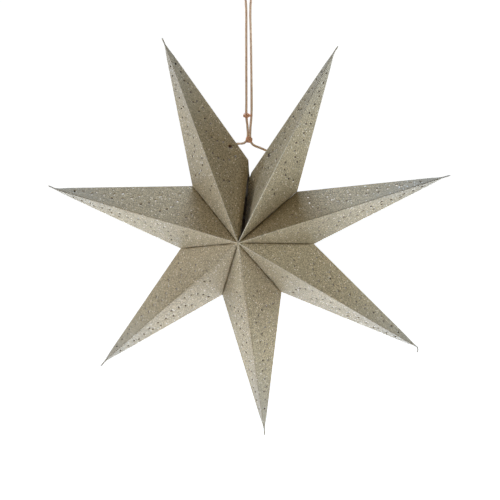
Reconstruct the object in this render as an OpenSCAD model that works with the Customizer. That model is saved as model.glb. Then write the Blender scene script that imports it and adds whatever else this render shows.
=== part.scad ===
// Seven-pointed paper star that hangs on a leather cord.
// Each arm is one folded card: two panels in front, two behind and glue flaps turned in along its valleys.
// The star faces -Y, hangs along Z, and its origin is the top of the cord's loop.

/* [Star] */
// Distance from the middle of the star to the tip of an arm
arm_reach = 232; // [200:1:270]
// Distance from the middle of the star to the valley corner between two arms
valley_reach = 78; // [65:1:90]
// Depth of the star from its front point to its back point
star_depth = 130; // [100:1:160]
// Drop from the top of the cord's loop to the middle of the star
hang_drop = 282; // [282:1:306]
// Turn of the hanging star, anticlockwise as seen from the front
star_turn = 3; // [-5:0.5:5]
// How unevenly the arms have opened: 0 is an even star
unevenness = 1; // [0:0.1:1]
// Angle of the slit at the top, where the first and the last arm are tied and not glued
slit_angle = 2.8; // [1:0.1:5]

/* [Card] */
// Thickness of the card
card_t = 0.5; // [0.3:0.05:0.8]
// Width of the glue flaps turned in along the valleys
flap_w = 9; // [5:0.5:12]

/* [Pinholes] */
// Diameter of a pinhole
pinhole_d = 1.8; // [1:0.1:2.4]
// Number of pinholes in each panel
pinholes_per_panel = 22; // [8:1:26]

/* [Cord] */
// Diameter of the leather cord
cord_d = 2.7; // [2:0.1:3]
// Diameter of the punched holes that the cord goes through
cord_hole_d = 4.4; // [4:0.1:5]
// Distance of the left arm's cord holes from its slit corner, along the outer fold
left_hole_from_corner = 23; // [22:0.5:24]
// Distance of the right arm's cord holes from its slit corner, along the outer fold
right_hole_from_corner = 29; // [28:0.5:30]
// Distance of the cord holes from the outer fold of the arm
cord_hole_inset = 10; // [9:0.5:11]
// Width of the knot that gathers both strands
lower_knot_w = 7.8; // [6:0.1:9]
// Height of the knot that gathers both strands
lower_knot_h = 7.6; // [6:0.1:9]
// Width of the small knot on one strand
upper_knot_w = 8; // [6:0.1:8.2]
// Height of the small knot on one strand
upper_knot_h = 5.8; // [4.5:0.1:7]
// Diameter of the stop knots inside the two tied arms
stop_knot_d = 7; // [5.5:0.1:7.2]

/* [Hidden] */
$fn = 24;

card_color = [0.62, 0.58, 0.50];
cord_color = [0.64, 0.46, 0.35];

// Every cut runs past the faces that it opens by this much
overrun = 1;

// The arms are counted anticlockwise from the slit at the top, and arm k lies between corners k and k + 1
arm_count = 7;
arm_step = (360 - slit_angle) / arm_count;
slit_edge = 90 + star_turn + slit_angle / 2;

// Turns, in degrees, and strays of reach by which the arms and corners have opened unevenly
tip_turns = [-5.5, -1.5, 1, 1.5, 3, 2.5, -1];
tip_stray_shares = [0.01, 0.01, 0.02, 0.01, -0.025, 0, -0.01];
corner_turns = [-4, -3.5, -1, 0, 0.5, 2, 0.5, -4];
corner_stray_shares = [0.05, 0.05, 0.045, 0.02, -0.01, -0.04, -0.07, -0.135];

function unit(v) = v / norm(v);

function in_plane(reach, angle) = [reach * cos(angle), 0, reach * sin(angle)];

function tip_angle(k) = slit_edge + (k + 1 / 2) * arm_step + unevenness * tip_turns[k];
function tip(k) = in_plane(arm_reach * (1 + unevenness * tip_stray_shares[k]), tip_angle(k));

function corner_angle(k) = slit_edge + k * arm_step + unevenness * corner_turns[k];
function corner_reach(k) = valley_reach * (1 + unevenness * corner_stray_shares[k]);
function corner(k) = in_plane(corner_reach(k), corner_angle(k));

// The front point for face -1 and the back point for face 1
function apex(face) = [0, face * star_depth / 2, 0];

// Outward normal of the panel of arm k at its corner side (0 or 1) on the given face
function panel_normal(k, side, face) =
    let (n = unit(cross(tip(k) - apex(face), corner(k + side) - apex(face))))
    n.y * face > 0 ? n : -n;

// Point of a panel: along runs from its valley edge to its tip, across from its ridge to its outer edge
function panel_point(k, side, face, along, across) =
    tip(k) + (1 - along) * (apex(face) + across * (corner(k + side) - apex(face)) - tip(k));

// Step of an arm towards the middle of the star that moves all four panels inwards by the card's thickness
function hollow_step(k) =
    let (a = panel_normal(k, 0, -1), b = panel_normal(k, 1, -1), det = a.x * b.z - a.z * b.x)
    card_t / det * [a.z - b.z, 0, b.x - a.x];

module arm_body(k)
    polyhedron(
        points = [apex(-1), apex(1), corner(k), corner(k + 1), tip(k)],
        faces = [[0, 4, 2], [0, 3, 4], [1, 2, 4], [1, 4, 3], [0, 2, 1], [0, 1, 3]]);

// Thickness of the glue on a flap, by which it stands back from its neighbour's half of the valley
glue_t = 0.05;

// Glue flaps along the front and back valley edges of a corner, as strips with slanted ends
flap_end_shares = [0.06, 0.96];

module flap_pair(k, side) {
    reach = corner_reach(k + side);
    half = star_depth / 2;
    edge = norm([reach, half]);
    inward = [-half, reach] / edge * flap_w;
    slant = flap_w / edge;
    ends = flap_end_shares;
    shares = [ends[0], ends[1], ends[1] - slant, ends[0] + slant];
    rotate([0, -corner_angle(k + side), 0])
        translate([0, 0, side == 0 ? glue_t : -card_t - glue_t])
            for (face = [0, 1])
                mirror([0, face, 0])
                    linear_extrude(card_t)
                        polygon([for (i = [0 : 3])
                            [reach * shares[i], half * (shares[i] - 1)] + (i < 2 ? [0, 0] : inward)]);
}

module punch(at, along, d)
    translate(at)
        rotate([0, acos(along.z), atan2(along.y, along.x)])
            cylinder(d = d, h = 2 * (card_t + overrun), center = true);

// The pinholes run from a chain near the tip to a loose cloud at the wide end of the panel
pinhole_along_shares = [0.84, 0.13];
pinhole_centre_shares = [0.66, 0.5];
pinhole_spread_shares = [0.08, 0.34];
pinhole_crowd_share = 0.8;
golden_share = (sqrt(5) - 1) / 2;

function between(ends, t) = ends[0] + t * (ends[1] - ends[0]);
function zigzag(i) = 2 * (i * golden_share - floor(i * golden_share)) - 1;

module pinholes(k, side, face)
    for (i = [0 : pinholes_per_panel - 1]) {
        t = pow(i / (pinholes_per_panel - 1), pinhole_crowd_share);
        across = between(pinhole_centre_shares, t) + zigzag(i) * between(pinhole_spread_shares, t);
        punch(panel_point(k, side, face, between(pinhole_along_shares, t), across),
            panel_normal(k, side, face), pinhole_d);
    }

// Hole for the cord beside the outer fold of the panel, at a distance from its slit corner
module cord_hole(k, side, face, from_corner) {
    fold = unit(tip(k) - corner(k + side));
    at_fold = corner(k + side) + from_corner * fold;
    to_apex = apex(face) - at_fold;
    into_panel = unit(to_apex - (to_apex * fold) * fold);
    punch(at_fold + cord_hole_inset * into_panel, panel_normal(k, side, face), cord_hole_d);
}

module arm(k)
    color(card_color)
        translate([0, 0, -hang_drop])
            difference() {
                union() {
                    difference() {
                        arm_body(k);
                        translate(hollow_step(k)) arm_body(k);
                    }
                    for (side = [0, 1]) flap_pair(k, side);
                }
                for (face = [-1, 1]) {
                    for (side = [0, 1]) pinholes(k, side, face);
                    if (k == 0) cord_hole(k, 0, face, left_hole_from_corner);
                    if (k == arm_count - 1) cord_hole(k, 1, face, right_hole_from_corner);
                }
            }

// The cord's route: from the stop knot in the left arm up to the loop and down into the right arm
cord_route = [
    [-24, 7.8, -186.8], [-18.9, 8, -185.1], [-16.9, 7.9, -184.5], [-15.1, 7.3, -184.1], [-11.2, 5, -183.4],
    [-7.2, 2.6, -182.7], [-3.3, 0.8, -180.4], [-1.7, 0.1, -175.6], [-1.5, 0, -165], [-2.7, 0, -152],
    [-2.7, 0, -134], [-2.8, 0, -104], [-2.9, 0, -64], [-3.2, 0, -30], [-4.5, 0, -18], [-6.3, 0, -11.4],
    [-7, 0, -5.6], [-6.1, 0, -2.1], [-3.5, 0, 0.4], [0, 0, 1.35], [3.5, 0, 0.4], [6.1, 0, -2.1], [7, 0, -5.6],
    [5.9, 0, -11.6], [3.4, 0, -19], [2, 0, -30], [2.3, 0, -64], [2.9, 0, -104], [3.1, 0, -134], [2.9, 0, -152],
    [2, 0, -165], [2, 0.1, -178], [2.8, 0.7, -181.5], [5.1, 1.8, -184.2], [12.6, 4.8, -187.8],
    [18.1, 7.2, -190.6], [21.1, 8.4, -192.1], [22.9, 8.8, -193.1], [27.3, 9, -195.6]];

// Each stretch of the route is drawn as two straight pieces, bent to follow a smooth curve
route_last = len(cord_route) - 1;

function route_point(i) = cord_route[max(0, min(route_last, i))];

function route_middle(i) =
    (9 * (route_point(i) + route_point(i + 1)) - route_point(i - 1) - route_point(i + 2)) / 16;

rings = [for (i = [0 : route_last]) each i < route_last ? [cord_route[i], route_middle(i)] : [cord_route[i]]];
ring_last = len(rings) - 1;
cord_sides = 8;

function heading(i) = unit(rings[min(ring_last, i + 1)] - rings[max(0, i - 1)]);

function ring_points(i) =
    let (side = unit(cross(heading(i), [0, 1, 0])), other = cross(heading(i), side))
    [for (j = [0 : cord_sides - 1])
        rings[i] + cord_d / 2 * (cos(360 * j / cord_sides) * side + sin(360 * j / cord_sides) * other)];

module cord_tube()
    polyhedron(
        points = [for (i = [0 : ring_last]) each ring_points(i)],
        faces = concat(
            [[for (j = [0 : cord_sides - 1]) j]],
            [for (i = [0 : ring_last - 1], j = [0 : cord_sides - 1])
                let (a = i * cord_sides + j, b = i * cord_sides + (j + 1) % cord_sides)
                [a, a + cord_sides, b + cord_sides, b]],
            [[for (j = [cord_sides - 1 : -1 : 0]) ring_last * cord_sides + j]]));

module hanging_cord()
    color(cord_color) cord_tube();

// A drawn-up knot, as an egg-shaped lump with the cord running through it
knot_facet_angle = 15;

module knot(at, w, h)
    color(cord_color)
        difference() {
            translate(at)
                rotate_extrude()
                    polygon([for (t = [0 : knot_facet_angle : 180]) [w / 2 * sin(t), h / 2 * cos(t)]]);
            cord_tube();
        }

// The gathering knot closes round both strands where the route turns off to the two arms
module lower_knot()
    knot((cord_route[6] + cord_route[7] + cord_route[route_last - 7] + cord_route[route_last - 6]) / 4,
        lower_knot_w, lower_knot_h);

module upper_knot()
    knot(cord_route[9], upper_knot_w, upper_knot_h);

module left_stop_knot()
    knot(cord_route[0], stop_knot_d, stop_knot_d);

module right_stop_knot()
    knot(cord_route[route_last], stop_knot_d, stop_knot_d);

arm(0);  // arm_top_left
arm(1);  // arm_left
arm(2);  // arm_bottom_left
arm(3);  // arm_bottom
arm(4);  // arm_bottom_right
arm(5);  // arm_right
arm(6);  // arm_top_right
hanging_cord();
lower_knot();
upper_knot();
left_stop_knot();
right_stop_knot();
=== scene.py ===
"""Looks of a hanging paper star: seven folded card arms pierced with pinholes, tied on a knotted leather cord."""
import math

import bmesh
import bpy
from mathutils import Matrix, Vector, noise
from mathutils.geometry import delaunay_2d_cdt


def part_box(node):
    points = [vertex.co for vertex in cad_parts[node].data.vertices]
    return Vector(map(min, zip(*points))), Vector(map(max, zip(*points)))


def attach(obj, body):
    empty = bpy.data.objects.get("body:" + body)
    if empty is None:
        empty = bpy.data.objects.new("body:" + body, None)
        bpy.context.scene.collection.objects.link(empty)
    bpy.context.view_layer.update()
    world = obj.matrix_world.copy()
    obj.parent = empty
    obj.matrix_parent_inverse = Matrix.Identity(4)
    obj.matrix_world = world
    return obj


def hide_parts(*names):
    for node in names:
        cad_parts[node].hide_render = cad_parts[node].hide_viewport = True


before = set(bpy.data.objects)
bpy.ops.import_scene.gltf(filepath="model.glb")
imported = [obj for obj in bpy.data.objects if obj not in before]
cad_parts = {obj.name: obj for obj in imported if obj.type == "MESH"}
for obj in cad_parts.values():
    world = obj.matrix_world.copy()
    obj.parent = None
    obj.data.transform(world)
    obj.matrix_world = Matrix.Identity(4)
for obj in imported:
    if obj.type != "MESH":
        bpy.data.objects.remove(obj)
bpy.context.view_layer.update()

MM = 0.001

# The arms, anticlockwise from the slit at the top
ARM_NODES = [
    "arm_top_left", "arm_left", "arm_bottom_left", "arm_bottom", "arm_bottom_right", "arm_right", "arm_top_right",
]

# Card. Near a tip it is no thicker than a share of the distance to the tip
CARD_THICKNESS = 0.5 * MM
WALL_PER_INSET = 0.07
# Least squared length of the mean normal at a fold, so that the inner sheet doesn't run far in
MITRE_LIMIT = 0.2
# Folds from this angle are shaded as sharp edges
SHARP_ANGLE = 50

# Glue flaps turned in along the valleys
FLAP_WIDTH = 9 * MM
FLAP_END_SHARES = (0.06, 0.96)
FLAP_STEPS = 16
GLUE_GAP = 0.05 * MM
# Where nothing is glued to it, beside the slit, a flap is wider and leans into the slit: width and lean by arm and side
LEANING_FLAPS = {("arm_top_right", 1): (28 * MM, 2.4 * MM)}
LEANING_FLAP_ENDS = (0.08, 1)
LEANING_FLAP_DEPTH = 0.85
LEAN_FADE = 0.12

# Pinholes: a chain near the tip that opens into a loose cloud. Each pair is for the tip and the wide end of a panel
PINHOLES_PER_PANEL = 22
PINHOLE_RADIUS = 0.9 * MM
PINHOLE_SIDES = 12
PINHOLE_ALONG = (0.84, 0.13)
PINHOLE_CENTRE = (0.66, 0.5)
PINHOLE_SPREAD = (0.08, 0.34)
PINHOLE_CROWDING = 0.8
GOLDEN_SHARE = (math.sqrt(5) - 1) / 2
# The pin pushes the rim of a hole inwards, at most by a share of the card, and leaves it wider outside than inside
PUNCH_SINK = 0.28 * MM
PUNCH_SINK_LIMIT = 0.6
PUNCH_LIP = 0.22 * MM
PUNCH_SPREAD = 0.7 * MM

# Punched holes for the cord, from the slit corner along the fold and in from the fold, by arm and side
CORD_HOLES = {("arm_top_left", 0): 23 * MM, ("arm_top_right", 1): 29 * MM}
CORD_HOLE_INSET = 10 * MM
CORD_HOLE_RADIUS = 2.2 * MM
CORD_HOLE_SIDES = 20

# Rows and columns of a panel's mesh, as shares of the way from tip to valley and from ridge to outer fold
TIP_ROWS = [0.006, 0.013, 0.021, 0.03, 0.04, 0.052, 0.066, 0.082, 0.1]
PANEL_ROWS = TIP_ROWS + [0.1 + 0.0225 * i for i in range(1, 39)] + [0.977, 0.988, 0.994, 0.998, 1]
TIP_COLUMNS = [0, 0.06, 0.25, 0.5, 0.75, 0.94, 1]
RIDGE_COLUMNS = [0, 0.004, 0.01, 0.022, 0.045]
FOLD_COLUMNS = [0.955, 0.978, 0.99, 0.996, 1]
PANEL_COLUMNS = RIDGE_COLUMNS + [0.09 + 0.0625 * i for i in range(14)] + FOLD_COLUMNS
FEW_COLUMNS_BEFORE = 0.06
# Away from the edges of a panel, its mesh keeps clear of the holes
OPEN_COLUMNS = (0.05, 0.95)
OPEN_ROWS_END = 0.975
CLEAR_OF_HOLES = 1.6 * PUNCH_SPREAD
CLEAR_OF_OTHER_HOLES = 0.3 * PUNCH_SPREAD
# A face with its middle within this share of a hole's radius is part of the hole
HOLE_SHARE = 0.97

# Creases: their radius, which shrinks towards the tip, and how much softer two front ridges are towards the middle
CREASE_RADIUS = 0.35 * MM
CREASE_PER_INSET = 0.03
SOFT_RIDGES = {"arm_bottom_left": 3.4 * MM, "arm_bottom": 2.4 * MM}
SOFT_RIDGE_PLACE = 0.76
SOFT_RIDGE_REACH = 0.17
# Glued valleys: how deep and how wide the folded edges round down into the groove between two arms
GROOVE_DEPTH = 0.5 * MM
GROOVE_WIDTH = 0.4 * MM
GROOVE_FADE = 0.14
# Beside the slit, where nothing is glued, the edges sag inwards: how deep and how wide, by arm and side
SAGGING_EDGES = {("arm_top_left", 0): (1.5 * MM, 3 * MM), ("arm_top_right", 1): (8 * MM, 17 * MM)}
SAG_FADE = 0.25

# Panels bow a little, each by its own amount, and have a slow wave
BOW_MEAN = -0.35 * MM
BOW_SPREAD = 0.55 * MM
BOW_STEPS = (2.4, 4.1, 5.3)
BOW_FULLNESS = 0.7
WAVE_HEIGHT = 0.2 * MM
WAVE_LENGTH = 45 * MM

# Tips are pressed together into slivers with a blunt end
SLIVER_LENGTH = 13 * MM
SLIVER_PRESS = 0.4
SLIVER_EDGE = 2.5
BLUNT_TIP = 0.9 * MM
BLUNTNESS = 4
LEAST_INSET = 0.1 * MM
# Arms that reach a little further than their solid
LONGER_ARMS = {"arm_bottom_right": 4.5 * MM}
# Pressing draws each tip out by this much
DRAWN_TIP = 2.2 * MM
# Tips that were bent in use: the length drawn out, how far before the old tip the bend starts, and its angle,
# anticlockwise in front
BENT_TIPS = {
    "arm_left": (DRAWN_TIP, 12 * MM, -9),
    "arm_bottom_left": (DRAWN_TIP, 12 * MM, 6),
    "arm_bottom_right": (3 * MM, 4 * MM, -58),
    "arm_top_right": (DRAWN_TIP, 12 * MM, -6),
}
# Share of its angle with which a bend starts
FIRST_BEND = 0.5

# How worn and whitish each front ridge is, the whitish line partly colour cracked by the fold and partly painted
# highlight, and how far that reaches out from the middle of the star
RIDGE_WEAR_AND_HIGHLIGHT = {
    "arm_top_left": (0.55, 0.9), "arm_left": (0.35, 0.5), "arm_bottom_left": (0.2, 0.1), "arm_bottom": (0.6, 0.15),
    "arm_bottom_right": (0.7, 0.4), "arm_right": (0.7, 0.3), "arm_top_right": (1.25, 0.62),
}
RIDGE_MARK_WIDTH = 0.62 * MM
RIDGE_MARK_FADE = 14
# Front ridges that show a thin dark line towards the tip, painted shade along the crease
SHADED_CREASES = {"arm_right": 0.55, "arm_left": 0.2}
# Painted sheen: the tips are coloured greyer over this share of the arm, standing in for the sheen on the tips and the
# warmer light bounced between panels near the middle
SHEEN_TIP_REACH = 0.55
SHEEN_TIP_STRENGTH = 0.6

# How strongly daylight shines through the back panels, by arm and side
DAYLIGHT = {
    ("arm_top_left", 0): 0.15, ("arm_top_left", 1): 0.08,
    ("arm_left", 0): 0.6, ("arm_left", 1): 0.12,
    ("arm_bottom_left", 0): 0.34,
    ("arm_bottom", 0): 0.06, ("arm_bottom", 1): 0.3,
    ("arm_bottom_right", 0): 0.16, ("arm_bottom_right", 1): 0.36,
    ("arm_right", 0): 0.18, ("arm_right", 1): 0.9,
    ("arm_top_right", 0): 0.1, ("arm_top_right", 1): 0.1,
}
# Shares of a panel over which daylight fades towards its tip, valley and ridge
DAYLIGHT_FADES = (0.14, 0.3, 0.25)
# The arm whose daylight reaches nearly to its valley
OPEN_VALLEY = ("arm_right", 0.05)

# The cord's route, from the stop knot in the left arm up to the loop and down into the right arm, in millimetres
CORD_ROUTE = [
    (-24, 7.8, -186.8), (-18.9, 8, -185.1), (-16.9, 7.9, -184.5), (-15.1, 7.3, -184.1), (-11.2, 5, -183.4),
    (-7.2, 2.6, -182.7), (-3.3, 0.8, -180.4), (-1.4, 0.1, -175.6), (-1.3, 0, -167), (-2.7, 0, -152),
    (-2.7, 0, -134), (-2.8, 0, -104), (-2.9, 0, -64), (-3.2, 0, -30), (-4.5, 0, -18), (-6.3, 0, -11.4),
    (-7, 0, -5.6), (-6.1, 0, -2.1), (-3.5, 0, 0.4), (0, 0, 1.35), (3.5, 0, 0.4), (6.1, 0, -2.1), (7, 0, -5.6),
    (5.9, 0, -11.6), (3.4, 0, -19), (2, 0, -30), (2.3, 0, -64), (2.9, 0, -104), (3.1, 0, -134), (2.9, 0, -152),
    (1.7, 0, -167), (1.8, 0.1, -178), (2.8, 0.7, -181.5), (5.1, 1.8, -184.2), (12.6, 4.8, -187.8),
    (18.1, 7.2, -190.6), (21.1, 8.4, -192.1), (22.9, 8.8, -193.1), (27.3, 9, -195.6),
]
CORD_RADIUS = 1.35 * MM
CORD_ROUNDNESS = 4
CORD_STEPS = 6
# The cord is slightly thicker and thinner along its way
CORD_UNEVENNESS = 0.03
CORD_UNEVEN_STEP = 2.3

# Knots: turns of cord that go round twice while they swing up and down three times
KNOT_STEPS = 96
KNOT_ROUNDS = 2
KNOT_SWINGS = 3
KNOT_SWING = 55
KNOT_TUBE_SIDES = 10
KNOT_TURN_RADIUS = 1.2 * MM
# How far the turns stand out of the ball that they are wound into
KNOT_TURN_HEIGHT = 0.5 * MM
# How far a knot sits above its solid, and how much larger it is
KNOT_LIFT = 0.8 * MM
KNOT_PUFF = 1.07
KNOT_BALL_LEVEL = 3
KNOT_VOXEL = 0.2 * MM
KNOT_SOFTENING = 0.5
KNOT_SOFTENING_ROUNDS = 2
# The upper knot's hitch, which goes round the right strand
HITCH_PLACE = CORD_ROUTE[-10]
HITCH_STEPS = KNOT_STEPS // 2
HITCH_RADIUS = 1.3 * MM
HITCH_TUBE = 0.9 * MM
HITCH_SHIFT = 0.9 * MM
HITCH_TILT = 0.25

# Colours of the card: its grain from dark to pale, and what lies over that
CARD_GRAIN = (0.145, 0.114, 0.063), (0.72, 0.568, 0.332)
CARD_MOTTLE = (0.41, 0.335, 0.197)
# Painted glint: the glitter flakes are coloured pale, as they look when they catch the light
CARD_FLAKE_GLINT = (0.88, 0.78, 0.59)
# Painted sheen: the greyer colour of the tips
CARD_SHEEN_GREY = (0.385, 0.355, 0.29)
# Whitish ridge line: partly colour cracked by the fold, partly painted highlight
CARD_CRACK_HIGHLIGHT = (0.95, 0.87, 0.7)
# Painted shade along the dark creases
CARD_CREASE_SHADE = (0.07, 0.06, 0.05)
# Painted shade: the inside, the hole walls and the inner faces of the flaps are coloured dark brown, with paler flakes
INSIDE_SHADE_GRAIN = (0.13, 0.092, 0.058), (0.2, 0.145, 0.095)
INSIDE_SHADE_FLAKE = (0.27, 0.21, 0.15)
DAYLIGHT_COLOUR = (1, 0.95, 0.86)
# Colours of the leathers: dark, pale, bare and in the pores
TAN = (0.8, 0.52, 0.33), (0.93, 0.68, 0.47), (0.95, 0.75, 0.56), (0.62, 0.36, 0.22)
RUSSET = (0.8, 0.36, 0.18), (0.93, 0.48, 0.28), (0.94, 0.57, 0.38), (0.58, 0.23, 0.12)
# The middle range of a noise, which holds most of its values
NOISE_RANGE = (0.3, 0.7)
# Sockets of a Mix node that mixes colours: share, two colours and result
MIX_SHARE, MIX_LOW, MIX_HIGH, MIX_RESULT = 0, 6, 7, 2

# Floor and room, which look white to the camera and give next to no light
FLOOR_DROP = 1.1
FLOOR_HALF = 60
FLOOR_GREY = 0.9
FLOOR_GLOW = 1.05
ROOM_LIGHT = 0.001
# Soft lights round the star: place from its middle, size, watts and colour
SOFT_LIGHTS = {
    "low_back": ((0, 0.5, -1.0), 1.4, 28, (0.83, 1, 1.26)),
    "low_left_back": ((-1.4, 0.9, -0.9), 1.4, 14, (0.8, 1, 1.3)),
    "top_back": ((-0.3, 0.9, 1.8), 0.9, 38, (0.8, 1, 1.32)),
    "right_back": ((2.0, 0.45, 0.06), 1.4, 34, (0.85, 1, 1.18)),
    "left_side": ((-2.15, 0, -0.35), 1.4, 26, (0.92, 1, 1.16)),
    "under": ((0, 0, -1.05), 1.4, 5, (1.02, 1, 1.1)),
    "upper_left": ((-1.7, -1.5, 1.5), 1.6, 19, (1, 1, 1)),
    "low_front": ((-0.2, -2, -0.95), 1.2, 3, (1.02, 1, 0.98)),
    "upper_right": ((1.8, -1.5, 0.8), 1.6, 9.5, (1.1, 1, 0.78)),
}

# Camera, as the photograph was taken, with the image 500 by 500
CAMERA_AZIMUTH = 10.5
CAMERA_ELEVATION = 10.8
CAMERA_DISTANCE = 2.0
CAMERA_LENS = 128.97
CAMERA_SENSOR = 36
CAMERA_SHIFT = (0.0024, -0.036)


def between(ends, share):
    """The value at a share of the way from one end to the other."""
    return ends[0] + share * (ends[1] - ends[0])


def ease(share):
    """A share that starts and stops gently, kept within 0 and 1."""
    share = min(max(share, 0), 1)
    return share * share * (3 - 2 * share)


class Arm:
    """The key points of an arm, read from its solid: front and back points, tip and the corners beside it."""

    def __init__(self, name):
        self.name = name
        points = [v.co.copy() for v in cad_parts[name].data.vertices]
        self.apexes = min(points, key=lambda p: p.y), max(points, key=lambda p: p.y)
        self.middle = (self.apexes[0] + self.apexes[1]) / 2
        self.tip = max(points, key=lambda p: (p - self.middle).length)
        self.inward = (self.middle - self.tip).normalized()
        self.tip -= LONGER_ARMS.get(name, 0) * self.inward
        self.sideways = Vector((0, 1, 0)).cross(self.inward)
        self.corners = (
            min(points, key=lambda p: (p - self.middle).dot(self.sideways)),
            max(points, key=lambda p: (p - self.middle).dot(self.sideways)),
        )
        flares = [abs((c - self.tip).dot(self.sideways)) / (c - self.tip).dot(self.inward) for c in self.corners]
        self.flare = sum(flares) / 2

    def press(self, inset):
        """Share of its width that the arm keeps at a distance from its tip, where the card is pressed together."""
        pinched = 1 - SLIVER_PRESS * math.exp(-((max(inset, 0) / SLIVER_LENGTH) ** SLIVER_EDGE))
        return max(pinched, min(BLUNT_TIP / (self.flare * max(inset, LEAST_INSET)), BLUNTNESS))

    def wall(self, inset):
        """Thickness of the card at a distance from the tip, where opposite walls leave no room for all of it."""
        return min(CARD_THICKNESS, WALL_PER_INSET * max(inset, 0) * self.press(inset))

    def pressed(self, point):
        """A point of the arm after its tip has been pressed into a sliver, drawn out and bent."""
        inset = (point - self.tip).dot(self.inward)
        off_axis = (point - self.tip - inset * self.inward) * self.press(inset)
        extra, start, degrees = BENT_TIPS.get(self.name, (DRAWN_TIP, 0, 0))
        if inset >= max(start, 2 * extra):
            return self.tip + inset * self.inward + off_axis
        if inset < 2 * extra:
            inset -= extra * (1 - inset / (2 * extra)) ** 2
        past = max(0, start - inset)
        bend = Matrix.Rotation(math.radians(-degrees), 3, "Y")
        outward = -self.inward
        bent_way = bend @ outward
        share = past / (start + extra)
        along = outward.lerp(bent_way, between((FIRST_BEND, 1), ease(share))) if past else outward
        turned = Matrix.Rotation(math.radians(-degrees * ease(share)), 3, "Y") @ off_axis
        return self.tip + (max(inset, start) * self.inward) + past * along.normalized() + turned


class Panel:
    """One panel of an arm. Its plane has x from the tip along the ridge and y across towards the outer fold."""

    def __init__(self, arm, side, face):
        self.arm, self.side, self.face = arm, side, face
        self.tip, self.apex, self.corner = arm.tip, arm.apexes[face], arm.corners[side]
        self.x_way = (self.apex - self.tip).normalized()
        to_corner = self.corner - self.tip
        self.y_way = (to_corner - to_corner.dot(self.x_way) * self.x_way).normalized()
        self.outward = self.x_way.cross(self.y_way)
        # The front panels, face 0, look towards -Y and the back ones towards +Y
        self.turned = self.outward.y * (self.face - 0.5) < 0
        if self.turned:
            self.outward = -self.outward
        self.length = (self.apex - self.tip).length
        self.corner_x, self.corner_y = to_corner.dot(self.x_way), to_corner.dot(self.y_way)
        by_arm, by_side, by_face = BOW_STEPS
        number = ARM_NODES.index(arm.name)
        self.bow = BOW_MEAN + BOW_SPREAD * math.sin(by_arm * number + by_side * side + by_face * face)

    def point(self, down, across):
        """A flat point, by its shares of the way from tip to valley and from ridge to outer fold."""
        return self.tip + down * (self.apex + across * (self.corner - self.apex) - self.tip)

    def plane(self, point):
        """The place in the panel's plane of a point in space."""
        offset = point - self.tip
        return Vector((offset.dot(self.x_way), offset.dot(self.y_way)))

    def shares(self, flat):
        """The shares of a point of the plane."""
        off_ridge = flat.y / self.corner_y
        down = off_ridge + (flat.x - off_ridge * self.corner_x) / self.length
        return down, (off_ridge / down if down > 1e-9 else 0)

    def pinhole_places(self):
        """The middles of the pinholes in the plane, from the tip to the wide end."""
        for i in range(PINHOLES_PER_PANEL):
            t = (i / (PINHOLES_PER_PANEL - 1)) ** PINHOLE_CROWDING
            zigzag = 2 * (i * GOLDEN_SHARE % 1) - 1
            across = between(PINHOLE_CENTRE, t) + zigzag * between(PINHOLE_SPREAD, t)
            yield self.plane(self.point(1 - between(PINHOLE_ALONG, t), across))

    def holes(self):
        """Each hole of the panel as its middle in the plane, its radius outside and its number of sides."""
        found = [(place, PINHOLE_RADIUS + PUNCH_LIP, PINHOLE_SIDES) for place in self.pinhole_places()]
        if (self.arm.name, self.side) in CORD_HOLES:
            fold = (self.tip - self.corner).normalized()
            at_fold = self.corner + CORD_HOLES[self.arm.name, self.side] * fold
            to_apex = self.apex - at_fold
            into_panel = (to_apex - to_apex.dot(fold) * fold).normalized()
            place = self.plane(at_fold + CORD_HOLE_INSET * into_panel)
            found.append((place, CORD_HOLE_RADIUS + PUNCH_LIP, CORD_HOLE_SIDES))
        return found

    def shaped(self, flat, others):
        """A point of the plane in space, with the panel's bow, its soft creases and its pressed tip."""
        down, across = self.shares(flat)
        place = self.point(down, across)
        inset = (place - self.tip).dot(self.arm.inward)
        belly = 4 * across * (1 - across) * math.sin(math.pi * min(max(down, 0), 1)) ** BOW_FULLNESS
        wave = noise.noise(place / WAVE_LENGTH) * WAVE_HEIGHT
        moved = place + belly * (self.bow * down + wave) * self.outward
        ridge, fold, valley = others
        crease = min(CREASE_RADIUS, CREASE_PER_INSET * inset)
        soft = crease
        if self.face == 0:
            softness = SOFT_RIDGES.get(self.arm.name, 0)
            soft += softness * math.exp(-(((down - SOFT_RIDGE_PLACE) / SOFT_RIDGE_REACH) ** 2))
        to_fold = abs(flat.x * self.corner_y - flat.y * self.corner_x) / math.hypot(self.corner_x, self.corner_y)
        moved -= crease_sink(flat.y, soft, self.outward, ridge)
        moved -= crease_sink(to_fold, crease, self.outward, fold)
        to_valley = (self.plane(self.apex) - flat).dot(valley)
        moved -= self.outward * self.sunk(to_valley, across)
        return self.arm.pressed(moved)

    def sunk(self, to_valley, across):
        """How far the panel lies inwards at a distance from its valley edge."""
        ends = ease(across / GROOVE_FADE) * ease((1 - across) / GROOVE_FADE)
        sink = GROOVE_DEPTH * ends * math.exp(-max(to_valley, 0) / GROOVE_WIDTH)
        depth, width = SAGGING_EDGES.get((self.arm.name, self.side), (0, 1))
        sag = depth * ease(across / SAG_FADE) * ease((1 - across) / SAG_FADE)
        return sink + sag * math.exp(-max(to_valley, 0) / width)

    def daylight(self, flat):
        """How much daylight shines through the card here."""
        if not self.face:
            return 0
        down, across = self.shares(flat)
        near_tip, near_valley, near_ridge = DAYLIGHT_FADES
        if self.arm.name == OPEN_VALLEY[0]:
            near_valley = OPEN_VALLEY[1]
        fade = ease((1 - down) / near_valley) * ease(down / near_tip - 1) * ease(across / near_ridge)
        return fade * DAYLIGHT.get((self.arm.name, self.side), 0)

    def sheen_greying(self, flat):
        """How much painted sheen turns the card greyer here, towards the tip."""
        return SHEEN_TIP_STRENGTH * ease(1 - self.shares(flat)[0] / SHEEN_TIP_REACH)

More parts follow.
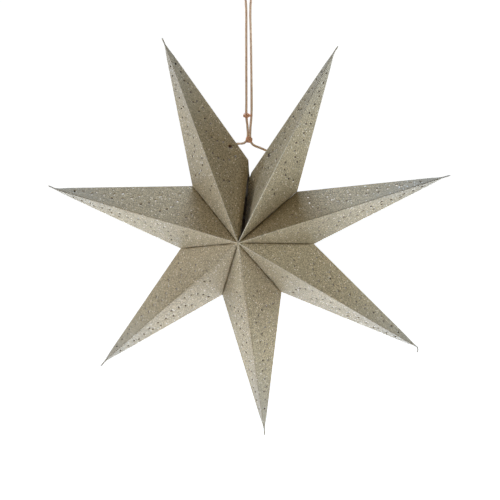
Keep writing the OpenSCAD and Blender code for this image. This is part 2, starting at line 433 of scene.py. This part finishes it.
    def ridge_marks(self, flat):
        """How whitish the front ridge is here, where its colour is worn through and where a highlight is painted, or
        how dark the painted shade of its crease is where this is below zero.
        """
        if self.face:
            return 0
        strength, reach = RIDGE_WEAR_AND_HIGHLIGHT[self.arm.name]
        down = self.shares(flat)[0]
        fade = 1 / (1 + math.exp((1 - reach - down) * RIDGE_MARK_FADE))
        crease = SHADED_CREASES.get(self.arm.name, 0) * (1 - fade)
        return (strength * fade - crease) * math.exp(-((flat.y / RIDGE_MARK_WIDTH) ** 2))


def crease_sink(distance, radius, outward, bisector):
    """How far a crease of this radius draws in a panel, at a distance from its fold line."""
    slope = math.acos(min(1, outward.dot(bisector)))
    x = distance * math.cos(slope)
    return bisector * math.tan(slope) * (math.hypot(x, radius) - x)


def cut_panel(panel, holes):
    """The panel's mesh with its holes cut out: keys of its points, their places, holes by rim point, and triangles."""
    keys, flats, lines = [], [], []
    index = {}

    def add(key, flat):
        index[key] = len(keys)
        keys.append(key)
        flats.append(flat)
        return index[key]

    add(("tip",), Vector((0, 0)))
    for i, down in enumerate(PANEL_ROWS):
        columns = TIP_COLUMNS if down < FEW_COLUMNS_BEFORE else PANEL_COLUMNS
        for across in columns:
            flat = panel.plane(panel.point(down, across))
            inside = OPEN_COLUMNS[0] < across < OPEN_COLUMNS[1] and down < OPEN_ROWS_END
            if inside and any((flat - place).length < radius + CLEAR_OF_HOLES for place, radius, _ in holes):
                continue
            if across == 0:
                key = ("ridge", panel.face, i)
            elif across == 1:
                key = ("fold", panel.side, i)
            else:
                key = (panel.side, panel.face, i, across)
            add(key, flat)
    last = len(PANEL_ROWS) - 1
    for name, number in (("ridge", panel.face), ("fold", panel.side)):
        rim = [index["tip",]] + [index[name, number, i] for i in range(last + 1)]
        lines += zip(rim, rim[1:])
    valley = [index["ridge", panel.face, last]]
    valley += [index[panel.side, panel.face, last, across] for across in PANEL_COLUMNS[1:-1]]
    valley.append(index["fold", panel.side, last])
    lines += zip(valley, valley[1:])
    for across in RIDGE_COLUMNS[1:] + FOLD_COLUMNS[:-1]:
        column = [index[k] for k in ((panel.side, panel.face, i, across) for i in range(last + 1)) if k in index]
        lines += zip(column, column[1:])
    rims = {}
    for n, (place, radius, sides) in enumerate(holes):
        ring = []
        for j in range(sides):
            way = Vector((math.cos(math.tau * j / sides), math.sin(math.tau * j / sides)))
            ring.append(add((panel.side, panel.face, "hole", n, j), place + radius * way))
            rims[ring[-1]] = n
            outer = place + (radius + PUNCH_SPREAD) * way
            if all((outer - other).length > r + CLEAR_OF_OTHER_HOLES for other, r, _ in holes):
                add((panel.side, panel.face, "around", n, j), outer)
        lines += zip(ring, ring[1:] + ring[:1])
    # The triangulation works in millimetres, which suit its tolerance
    scale = 1 / MM
    points, _, faces, sources, _, _ = delaunay_2d_cdt([f * scale for f in flats], lines, [], 1, 1e-5)
    source = [s[0] if s else None for s in sources]
    triangles = []
    for face in faces:
        middle = sum((points[i] for i in face), Vector((0, 0))) / (len(face) * scale)
        if all((middle - place).length > radius * HOLE_SHARE for place, radius, _ in holes):
            triangles.append([source[i] for i in (reversed(face) if panel.turned else face)])
    return keys, flats, rims, triangles


class Spot:
    """A point of a card, gathered from the panels that meet there."""

    def __init__(self):
        self.places, self.normals = [], []
        self.ridge_marks = self.tip_sheen = self.daylight = self.inset = self.sink = 0
        self.lip = Vector()

    def gather(self, panel, flat, place):
        """Takes in what one panel says of this point."""
        self.places.append(place)
        self.normals.append(panel.outward)
        # Ridge marks: worn colour with painted highlight, and painted crease shade below zero; the tip greying is
        # painted sheen
        self.ridge_marks = max(self.ridge_marks, panel.ridge_marks(flat), key=abs)
        self.tip_sheen = panel.sheen_greying(flat)
        self.daylight = max(self.daylight, panel.daylight(flat))
        self.inset = (panel.point(*panel.shares(flat)) - panel.tip).dot(panel.arm.inward)

    def sheets(self, arm):
        """The places of the outer and the inner sheet."""
        place = sum(self.places, Vector()) / len(self.places)
        way = sum(self.normals, Vector()) / len(self.normals)
        wall = arm.wall(self.inset)
        outer = place - way * min(self.sink, PUNCH_SINK_LIMIT * wall)
        return outer, place + self.lip - way * wall / max(way.length_squared, MITRE_LIMIT)


def card_spots(panels):
    """The spots of a card by their keys, and its outer faces as triples of keys."""
    normal = {(p.side, p.face): p.outward for p in panels}
    spots, outside = {}, []
    for p in panels:
        ridge = (normal[0, p.face] + normal[1, p.face]).normalized()
        fold = (normal[p.side, 0] + normal[p.side, 1]).normalized()
        along_valley = p.plane(p.corner) - p.plane(p.apex)
        valley = Vector((along_valley.y, -along_valley.x)).normalized()
        if valley.x < 0:
            valley.negate()
        holes = p.holes()
        keys, flats, rims, triangles = cut_panel(p, holes)
        for n in sorted({n for triangle in triangles for n in triangle}):
            spot = spots.setdefault(keys[n], Spot())
            place = p.shaped(flats[n], (ridge, fold, valley))
            if n in rims:
                middle = p.shaped(holes[rims[n]][0], (ridge, fold, valley))
                spot.sink, spot.lip = PUNCH_SINK, PUNCH_LIP * (middle - place).normalized()
            spot.gather(p, flats[n], place)
        outside += [[keys[n] for n in triangle] for triangle in triangles]
    return spots, outside


def arm_mesh(arm):
    """One folded card: its outer sheet, its inner sheet, the cut edges between them at holes and valleys, and flaps."""
    panels = [Panel(arm, side, face) for side in (0, 1) for face in (0, 1)]
    spots, outside = card_spots(panels)
    keys = list(spots)
    number = {key: i for i, key in enumerate(keys)}
    outer, inner = zip(*(spot.sheets(arm) for spot in spots.values()))
    count = len(outer)
    skin = [[number[key] for key in triangle] for triangle in outside]
    lining = [[n + count for n in reversed(triangle)] for triangle in skin]
    uses = {}
    for a, b, c in skin:
        for edge in ((a, b), (b, c), (c, a)):
            uses[tuple(sorted(edge))] = None if tuple(sorted(edge)) in uses else edge
    cut_edges = [[e[1], e[0], e[0] + count, e[1] + count] for e in uses.values() if e]
    places = [*outer, *inner]
    faces = skin + lining + cut_edges
    # Finish 0 is the coloured outside and finish 1 the inside, coloured dark as painted shade
    at_hole = [1 if "hole" in keys[edge[0]] else 0 for edge in cut_edges]
    finish = [0] * len(skin) + [1] * len(lining) + at_hole
    for panel in panels:
        flap_places, flap_faces, flap_finish = flap(panel)
        faces += [[n + len(places) for n in f] for f in flap_faces]
        places += flap_places
        finish += flap_finish
    mesh = bpy.data.meshes.new("card_" + arm.name)
    mesh.from_pydata(places, [], faces)
    mesh.polygons.foreach_set("material_index", finish)
    mesh.polygons.foreach_set("use_smooth", [True] * len(faces))
    # Ridge marks hold worn colour, painted highlight and painted crease shade; the tip greying is painted sheen
    marks = {
        "ridge_wear_highlight_shade": [spot.ridge_marks for spot in spots.values()],
        "painted_tip_sheen": [spot.tip_sheen for spot in spots.values()],
        "daylight_through": [0] * count + [spot.daylight for spot in spots.values()],
    }
    for name, values in marks.items():
        values += [0] * (len(places) - len(values))
        mesh.attributes.new(name, "FLOAT", "POINT").data.foreach_set("value", values)
    mesh.set_sharp_from_angle(angle=math.radians(SHARP_ANGLE))
    mesh.update()
    return mesh


def flap(panel):
    """A glue flap turned in along a valley, as a strip with slanted ends: places, faces and finishes."""
    arm, apex = panel.arm, panel.apex
    valley = panel.corner - apex
    edge_way = valley.normalized()
    to_middle = arm.middle - apex
    into = (to_middle - to_middle.dot(edge_way) * edge_way).normalized()
    away = valley.cross(into).normalized()
    if away.dot(arm.inward) > 0:
        away.negate()
    places, faces, finish = [], [], []
    slant = FLAP_WIDTH / valley.length
    width, lean = LEANING_FLAPS.get((arm.name, panel.side), (FLAP_WIDTH, 0))
    for i in range(FLAP_STEPS + 1):
        t = i / FLAP_STEPS
        share = between(LEANING_FLAP_ENDS if lean else FLAP_END_SHARES, t)
        outer = apex + share * valley - panel.outward * panel.sunk(0, share)
        if lean:
            deep = min(width, LEANING_FLAP_DEPTH * (1 - share) * to_middle.dot(into))
            inner = apex + share * valley + into * deep - away * lean * share * ease((1 - share) / LEAN_FADE)
        else:
            inner = apex + between((FLAP_END_SHARES[0] + slant, FLAP_END_SHARES[1] - slant), t) * valley
            inner += into * width - panel.outward * panel.sunk(width, share)
        for place in (outer, inner):
            places.append(place + away * GLUE_GAP)
            places.append(place + away * (GLUE_GAP + CARD_THICKNESS))
    outward_first = edge_way.cross(into).dot(away) > 0
    for i in range(FLAP_STEPS):
        a, b = 4 * i, 4 * i + 4
        strips = [
            ([a, a + 2, b + 2, b], 0), ([a + 1, b + 1, b + 3, a + 3], 1), ([a + 2, a + 3, b + 3, b + 2], 1),
            ([a, b, b + 1, a + 1], 0),
        ]
        for strip, kind in strips:
            faces.append(strip if outward_first else strip[::-1])
            finish.append(kind)
    ends = [[0, 1, 3, 2], [4 * FLAP_STEPS + n for n in (0, 2, 3, 1)]]
    for end in ends:
        faces.append(end if outward_first else end[::-1])
        finish.append(1)
    return places, faces, finish


def add_piece(name, data, node):
    """A visible piece in place of a solid of the frame."""
    piece = bpy.data.objects.new(name, data)
    bpy.context.scene.collection.objects.link(piece)
    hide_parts(node)
    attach(piece, "root")
    return piece


# Shader nodes

def new_node(tree, kind, **values):
    """A node with its settings and input values; an input named with underscores stands for spaces."""
    node = tree.nodes.new(kind)
    for key, value in values.items():
        label = key.replace("_", " ")
        if label in node.inputs:
            node.inputs[label].default_value = value
        else:
            setattr(node, key, value)
    return node


def link(tree, start, end):
    """Joins two sockets."""
    tree.links.new(start, end)


def feed(tree, value, socket):
    """Gives a socket its value, which is another socket, a colour or a number."""
    if isinstance(value, bpy.types.NodeSocket):
        link(tree, value, socket)
    else:
        socket.default_value = (*value, 1) if isinstance(value, tuple) else value


def fine_grain_group():
    """Fine grain, rare bright flakes and a broad mottle, from a place on the surface."""
    tree = bpy.data.node_groups.new("fine_grain", "ShaderNodeTree")
    tree.interface.new_socket("Place", in_out="INPUT", socket_type="NodeSocketVector")
    for name, value in (("Grain Scale", 900), ("Flake Scale", 1400), ("Flake Share", 0.06), ("Mottle Scale", 30)):
        socket = tree.interface.new_socket(name, in_out="INPUT", socket_type="NodeSocketFloat")
        socket.default_value = value
    for name in ("Grain", "Flake", "Mottle"):
        tree.interface.new_socket(name, in_out="OUTPUT", socket_type="NodeSocketFloat")
    inside = new_node(tree, "NodeGroupInput")
    out = new_node(tree, "NodeGroupOutput")
    grain = new_node(tree, "ShaderNodeTexNoise", Detail=1.5, Roughness=0.6)
    mottle = new_node(tree, "ShaderNodeTexNoise", Detail=3, Roughness=0.55)
    cells = new_node(tree, "ShaderNodeTexVoronoi")
    split = new_node(tree, "ShaderNodeSeparateColor")
    few = new_node(tree, "ShaderNodeMath", operation="LESS_THAN")
    for texture, scale in ((grain, "Grain Scale"), (mottle, "Mottle Scale"), (cells, "Flake Scale")):
        link(tree, inside.outputs["Place"], texture.inputs["Vector"])
        link(tree, inside.outputs[scale], texture.inputs["Scale"])
    link(tree, cells.outputs["Color"], split.inputs["Color"])
    link(tree, split.outputs["Red"], few.inputs[0])
    link(tree, inside.outputs["Flake Share"], few.inputs[1])
    link(tree, grain.outputs["Fac"], out.inputs["Grain"])
    link(tree, few.outputs["Value"], out.inputs["Flake"])
    link(tree, mottle.outputs["Fac"], out.inputs["Mottle"])
    return tree


def new_material(name):
    """A material with its node tree and its surface shader."""
    material = bpy.data.materials.new(name)
    material.use_nodes = True
    tree = material.node_tree
    return material, tree, tree.nodes["Principled BSDF"]


def grain_in(tree, group, **values):
    """The fine grain group placed in a material, fed with the piece's own coordinates."""
    node = new_node(tree, "ShaderNodeGroup", node_tree=group, **values)
    place = new_node(tree, "ShaderNodeTexCoord")
    link(tree, place.outputs["Object"], node.inputs["Place"])
    return node


def mixed(tree, share, low, high):
    """A colour mixed by a share. Low and high are colours or sockets."""
    node = new_node(tree, "ShaderNodeMix", data_type="RGBA")
    for number, value in ((MIX_SHARE, share), (MIX_LOW, low), (MIX_HIGH, high)):
        feed(tree, value, node.inputs[number])
    return node.outputs[MIX_RESULT]


def multiplied(tree, value, factor):
    """A value multiplied by a number or by another value."""
    node = new_node(tree, "ShaderNodeMath", operation="MULTIPLY")
    feed(tree, value, node.inputs[0])
    feed(tree, factor, node.inputs[1])
    return node.outputs["Value"]


def stretched(tree, value, low, high):
    """A noise's middle range drawn out to a range of its own."""
    least, most = NOISE_RANGE
    node = new_node(tree, "ShaderNodeMapRange", From_Min=least, From_Max=most, To_Min=low, To_Max=high)
    link(tree, value, node.inputs["Value"])
    return node.outputs["Result"]


def attribute(tree, name):
    """A value that the mesh carries at its points."""
    return new_node(tree, "ShaderNodeAttribute", attribute_name=name).outputs["Fac"]


def roughen(tree, surface, height, strength, depth):
    """Fine relief on a surface."""
    bump = new_node(tree, "ShaderNodeBump", Strength=strength, Distance=depth)
    link(tree, height, bump.inputs["Height"])
    link(tree, bump.outputs["Normal"], surface.inputs["Normal"])


def taupe_card(group):
    """Matt taupe card with a glittering grain whose flakes are coloured pale as painted glint, turning greyer at the
    tips as painted sheen, whitish along front ridges where a fold has broken its colour and as a painted highlight, and
    dark along some creases as painted shade.
    """
    material, tree, surface = new_material("taupe_card")
    made = grain_in(tree, group, Grain_Scale=800, Flake_Scale=1000, Flake_Share=0.022, Mottle_Scale=26)
    grain, flake, mottle = (made.outputs[kind] for kind in ("Grain", "Flake", "Mottle"))
    ground = mixed(tree, stretched(tree, grain, 0, 1), *CARD_GRAIN)
    ground = mixed(tree, stretched(tree, mottle, 0, 0.35), ground, CARD_MOTTLE)
    # Painted glint on the glitter flakes
    ground = mixed(tree, flake, ground, CARD_FLAKE_GLINT)
    # Painted sheen: greyer towards the tips
    ground = mixed(tree, attribute(tree, "painted_tip_sheen"), ground, CARD_SHEEN_GREY)
    # Ridge marks: whitish where the colour is cracked and as painted highlight; below zero, painted shade along the
    # crease
    ridge_marks = attribute(tree, "ridge_wear_highlight_shade")
    crack_and_highlight = multiplied(tree, ridge_marks, stretched(tree, grain, 0.5, 1.2))
    ground = mixed(tree, crack_and_highlight, ground, CARD_CRACK_HIGHLIGHT)
    # Painted shade along the dark creases
    ground = mixed(tree, multiplied(tree, ridge_marks, -1), ground, CARD_CREASE_SHADE)
    link(tree, ground, surface.inputs["Base Color"])
    rough = new_node(tree, "ShaderNodeMapRange", To_Min=0.72, To_Max=0.4)
    link(tree, flake, rough.inputs["Value"])
    link(tree, rough.outputs["Result"], surface.inputs["Roughness"])
    roughen(tree, surface, grain, strength=0.35, depth=0.15 * MM)
    return material


def painted_shade_inside_card(group):
    """The card's inside and the walls of its holes, coloured dark as painted shade, with the daylight that shines
    through from behind.
    """
    material, tree, surface = new_material("painted_shade_inside_card")
    made = grain_in(tree, group, Grain_Scale=600, Flake_Scale=900, Flake_Share=0.03, Mottle_Scale=40)
    grain, flake = made.outputs["Grain"], made.outputs["Flake"]
    # Painted shade: the inside is coloured dark
    ground = mixed(tree, stretched(tree, grain, 0, 1), *INSIDE_SHADE_GRAIN)
    ground = mixed(tree, flake, ground, INSIDE_SHADE_FLAKE)
    link(tree, ground, surface.inputs["Base Color"])
    surface.inputs["Roughness"].default_value = 0.85
    glow = mixed(tree, attribute(tree, "daylight_through"), (0, 0, 0), DAYLIGHT_COLOUR)
    link(tree, glow, surface.inputs["Emission Color"])
    surface.inputs["Emission Strength"].default_value = 1
    roughen(tree, surface, grain, strength=0.3, depth=0.12 * MM)
    return material


def leather(group, name, dark, pale, bare, pore):
    """Waxed leather cord, with a cloudy tan, paler bare spots and fine darker pores."""
    material, tree, surface = new_material(name)
    made = grain_in(tree, group, Grain_Scale=1500, Flake_Scale=1600, Flake_Share=0.1, Mottle_Scale=120)
    grain, flake, mottle = (made.outputs[kind] for kind in ("Grain", "Flake", "Mottle"))
    ground = mixed(tree, stretched(tree, mottle, 0, 1), dark, pale)
    ground = mixed(tree, stretched(tree, grain, 0, 0.35), ground, bare)
    ground = mixed(tree, flake, ground, pore)
    link(tree, ground, surface.inputs["Base Color"])
    link(tree, stretched(tree, grain, 0.42, 0.6), surface.inputs["Roughness"])
    roughen(tree, surface, grain, strength=0.4, depth=0.1 * MM)
    return material


# The cord and its knots

def leather_cord(material):
    """The cord along its route."""
    data = bpy.data.curves.new("leather_cord", "CURVE")
    data.dimensions = "3D"
    data.bevel_depth = CORD_RADIUS
    data.bevel_resolution = CORD_ROUNDNESS
    data.resolution_u = CORD_STEPS
    data.use_fill_caps = True
    spline = data.splines.new("BEZIER")
    spline.bezier_points.add(len(CORD_ROUTE) - 1)
    for i, (bend, place) in enumerate(zip(spline.bezier_points, CORD_ROUTE)):
        bend.co = Vector(place) * MM
        bend.handle_left_type = bend.handle_right_type = "AUTO"
        bend.radius = 1 + CORD_UNEVENNESS * math.sin(CORD_UNEVEN_STEP * i)
    data.materials.append(material)
    return add_piece("leather_cord", data, "hanging_cord")


def tube(path, radius):
    """Places and faces of a round tube that follows a closed path."""
    places, faces = [], []
    count = len(path)
    for i, place in enumerate(path):
        way = (path[(i + 1) % count] - path[i - 1]).normalized()
        side = way.orthogonal().normalized() if i == 0 else (side - side.dot(way) * way).normalized()
        other = way.cross(side)
        for j in range(KNOT_TUBE_SIDES):
            angle = math.tau * j / KNOT_TUBE_SIDES
            places.append(place + radius * (math.cos(angle) * side + math.sin(angle) * other))
    last_ring = (count - 1) * KNOT_TUBE_SIDES
    turn = min(range(KNOT_TUBE_SIDES), key=lambda j: (places[last_ring + j] - places[0]).length)
    for i in range(count):
        for j in range(KNOT_TUBE_SIDES):
            a = i * KNOT_TUBE_SIDES + j
            b = i * KNOT_TUBE_SIDES + (j + 1) % KNOT_TUBE_SIDES
            if i < count - 1:
                c, d = b + KNOT_TUBE_SIDES, a + KNOT_TUBE_SIDES
            else:
                c, d = (j + 1 - turn) % KNOT_TUBE_SIDES, (j - turn) % KNOT_TUBE_SIDES
            faces.append([a, b, c, d])
    return places, faces


def ball(middle, radii):
    """Places and faces of an egg-shaped ball."""
    shape = bmesh.new()
    bmesh.ops.create_icosphere(shape, subdivisions=KNOT_BALL_LEVEL, radius=1)
    shape.verts.index_update()
    places = [middle + Vector(r * c for r, c in zip(radii, v.co)) for v in shape.verts]
    faces = [[v.index for v in f.verts] for f in shape.faces]
    shape.free()
    return places, faces


def drawn_knot(name, node, material, hitch=None):
    """A knot drawn up tight: turns of cord wound over each other into a ball, and a hitch round a second strand."""
    low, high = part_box(node)
    middle, half = (low + high) / 2 + Vector((0, 0, KNOT_LIFT)), KNOT_PUFF * (high - low) / 2
    places, faces = [], []

    def add(made):
        faces.extend([[n + len(places) for n in face] for face in made[1]])
        places.extend(made[0])

    core = half - Vector((1, 1, 1)) * KNOT_TURN_HEIGHT
    add(ball(middle, core))
    path = half - Vector((1, 1, 1)) * KNOT_TURN_RADIUS
    turns = []
    for i in range(KNOT_STEPS):
        t = math.tau * i / KNOT_STEPS
        rise = math.radians(KNOT_SWING) * math.sin(KNOT_SWINGS * t)
        round_way = KNOT_ROUNDS * t
        way = (math.cos(rise) * math.cos(round_way), math.cos(rise) * math.sin(round_way), math.sin(rise))
        turns.append(middle + Vector(r * c for r, c in zip(path, way)))
    add(tube(turns, KNOT_TURN_RADIUS))
    if hitch:
        ring = []
        centre = Vector(hitch) * MM + Vector((-HITCH_SHIFT, 0, KNOT_LIFT))
        for i in range(HITCH_STEPS):
            t = math.tau * i / HITCH_STEPS
            ring.append(centre + HITCH_RADIUS * Vector((math.cos(t), math.sin(t), HITCH_TILT * math.cos(t))))
        add(tube(ring, HITCH_TUBE))
    mesh = bpy.data.meshes.new(name)
    mesh.from_pydata(places, [], faces)
    mesh.materials.append(material)
    knot = add_piece(name, mesh, node)
    melt = knot.modifiers.new("join turns", "REMESH")
    melt.mode = "VOXEL"
    melt.voxel_size = KNOT_VOXEL
    melt.use_smooth_shade = True
    smooth = knot.modifiers.new("soften turns", "SMOOTH")
    smooth.factor = KNOT_SOFTENING
    smooth.iterations = KNOT_SOFTENING_ROUNDS
    return knot


# Stage, lights and camera

def soft_light(middle, name, place, size, power, colour):
    """A square soft light that looks at the middle of the star."""
    data = bpy.data.lights.new(name, "AREA")
    data.shape = "SQUARE"
    data.size = size
    data.energy = power
    data.color = colour
    light = bpy.data.objects.new(name, data)
    bpy.context.scene.collection.objects.link(light)
    light.location = middle + Vector(place)
    light.rotation_mode = "QUATERNION"
    light.rotation_quaternion = (middle - light.location).to_track_quat("-Z", "Y")


def stage(middle):
    """A pale floor, seen white, in a dim room."""
    mesh = bpy.data.meshes.new("floor")
    z = middle.z - FLOOR_DROP
    corners = [(FLOOR_HALF * x, FLOOR_HALF * y, z) for x, y in ((-1, -1), (1, -1), (1, 1), (-1, 1))]
    mesh.from_pydata(corners, [], [[0, 1, 2, 3]])
    material, tree, surface = new_material("pale_floor")
    surface.inputs["Base Color"].default_value = (FLOOR_GREY, FLOOR_GREY, FLOOR_GREY, 1)
    surface.inputs["Roughness"].default_value = 0.9
    surface.inputs["Emission Color"].default_value = (1, 1, 1, 1)
    seen = new_node(tree, "ShaderNodeLightPath").outputs["Is Camera Ray"]
    link(tree, multiplied(tree, seen, FLOOR_GLOW), surface.inputs["Emission Strength"])
    mesh.materials.append(material)
    floor = bpy.data.objects.new("floor", mesh)
    bpy.context.scene.collection.objects.link(floor)
    world = bpy.data.worlds.new("room")
    bpy.context.scene.world = world
    world.use_nodes = True
    room = world.node_tree
    background = room.nodes["Background"]
    background.inputs["Color"].default_value = (1, 1, 1, 1)
    seen = new_node(room, "ShaderNodeLightPath").outputs["Is Camera Ray"]
    shine = new_node(room, "ShaderNodeMapRange", To_Min=ROOM_LIGHT, To_Max=FLOOR_GLOW)
    link(room, seen, shine.inputs["Value"])
    link(room, shine.outputs["Result"], background.inputs["Strength"])


def camera(middle):
    """The camera, which looks at the star as the photograph does."""
    data = bpy.data.cameras.new("camera")
    data.lens = CAMERA_LENS
    data.sensor_width = CAMERA_SENSOR
    data.shift_x, data.shift_y = CAMERA_SHIFT
    a, e = math.radians(CAMERA_AZIMUTH), math.radians(CAMERA_ELEVATION)
    back = Vector((math.sin(a) * math.cos(e), -math.cos(a) * math.cos(e), math.sin(e)))
    cam = bpy.data.objects.new("camera", data)
    bpy.context.scene.collection.objects.link(cam)
    cam.location = middle + CAMERA_DISTANCE * back
    cam.rotation_mode = "QUATERNION"
    cam.rotation_quaternion = (-back).to_track_quat("-Z", "Y")
    bpy.context.scene.camera = cam


fine_grain = fine_grain_group()
card, inside_card = taupe_card(fine_grain), painted_shade_inside_card(fine_grain)
tan = leather(fine_grain, "tan_leather", *TAN)
russet = leather(fine_grain, "russet_leather", *RUSSET)

arms = [Arm(name) for name in ARM_NODES]
for arm in arms:
    sheet = arm_mesh(arm)
    sheet.materials.append(card)
    sheet.materials.append(inside_card)
    add_piece("card_" + arm.name, sheet, arm.name)

cord = leather_cord(tan)
knots = [
    drawn_knot("tied_lower_knot", "lower_knot", russet),
    drawn_knot("tied_upper_knot", "upper_knot", russet, hitch=HITCH_PLACE),
    drawn_knot("tied_left_stop_knot", "left_stop_knot", russet),
    drawn_knot("tied_right_stop_knot", "right_stop_knot", russet),
]

star_middle = arms[0].middle
stage(star_middle)
for name, (place, size, power, colour) in SOFT_LIGHTS.items():
    soft_light(star_middle, name, place, size, power, colour)
camera(star_middle)
bpy.context.scene.view_settings.view_transform = "Standard"
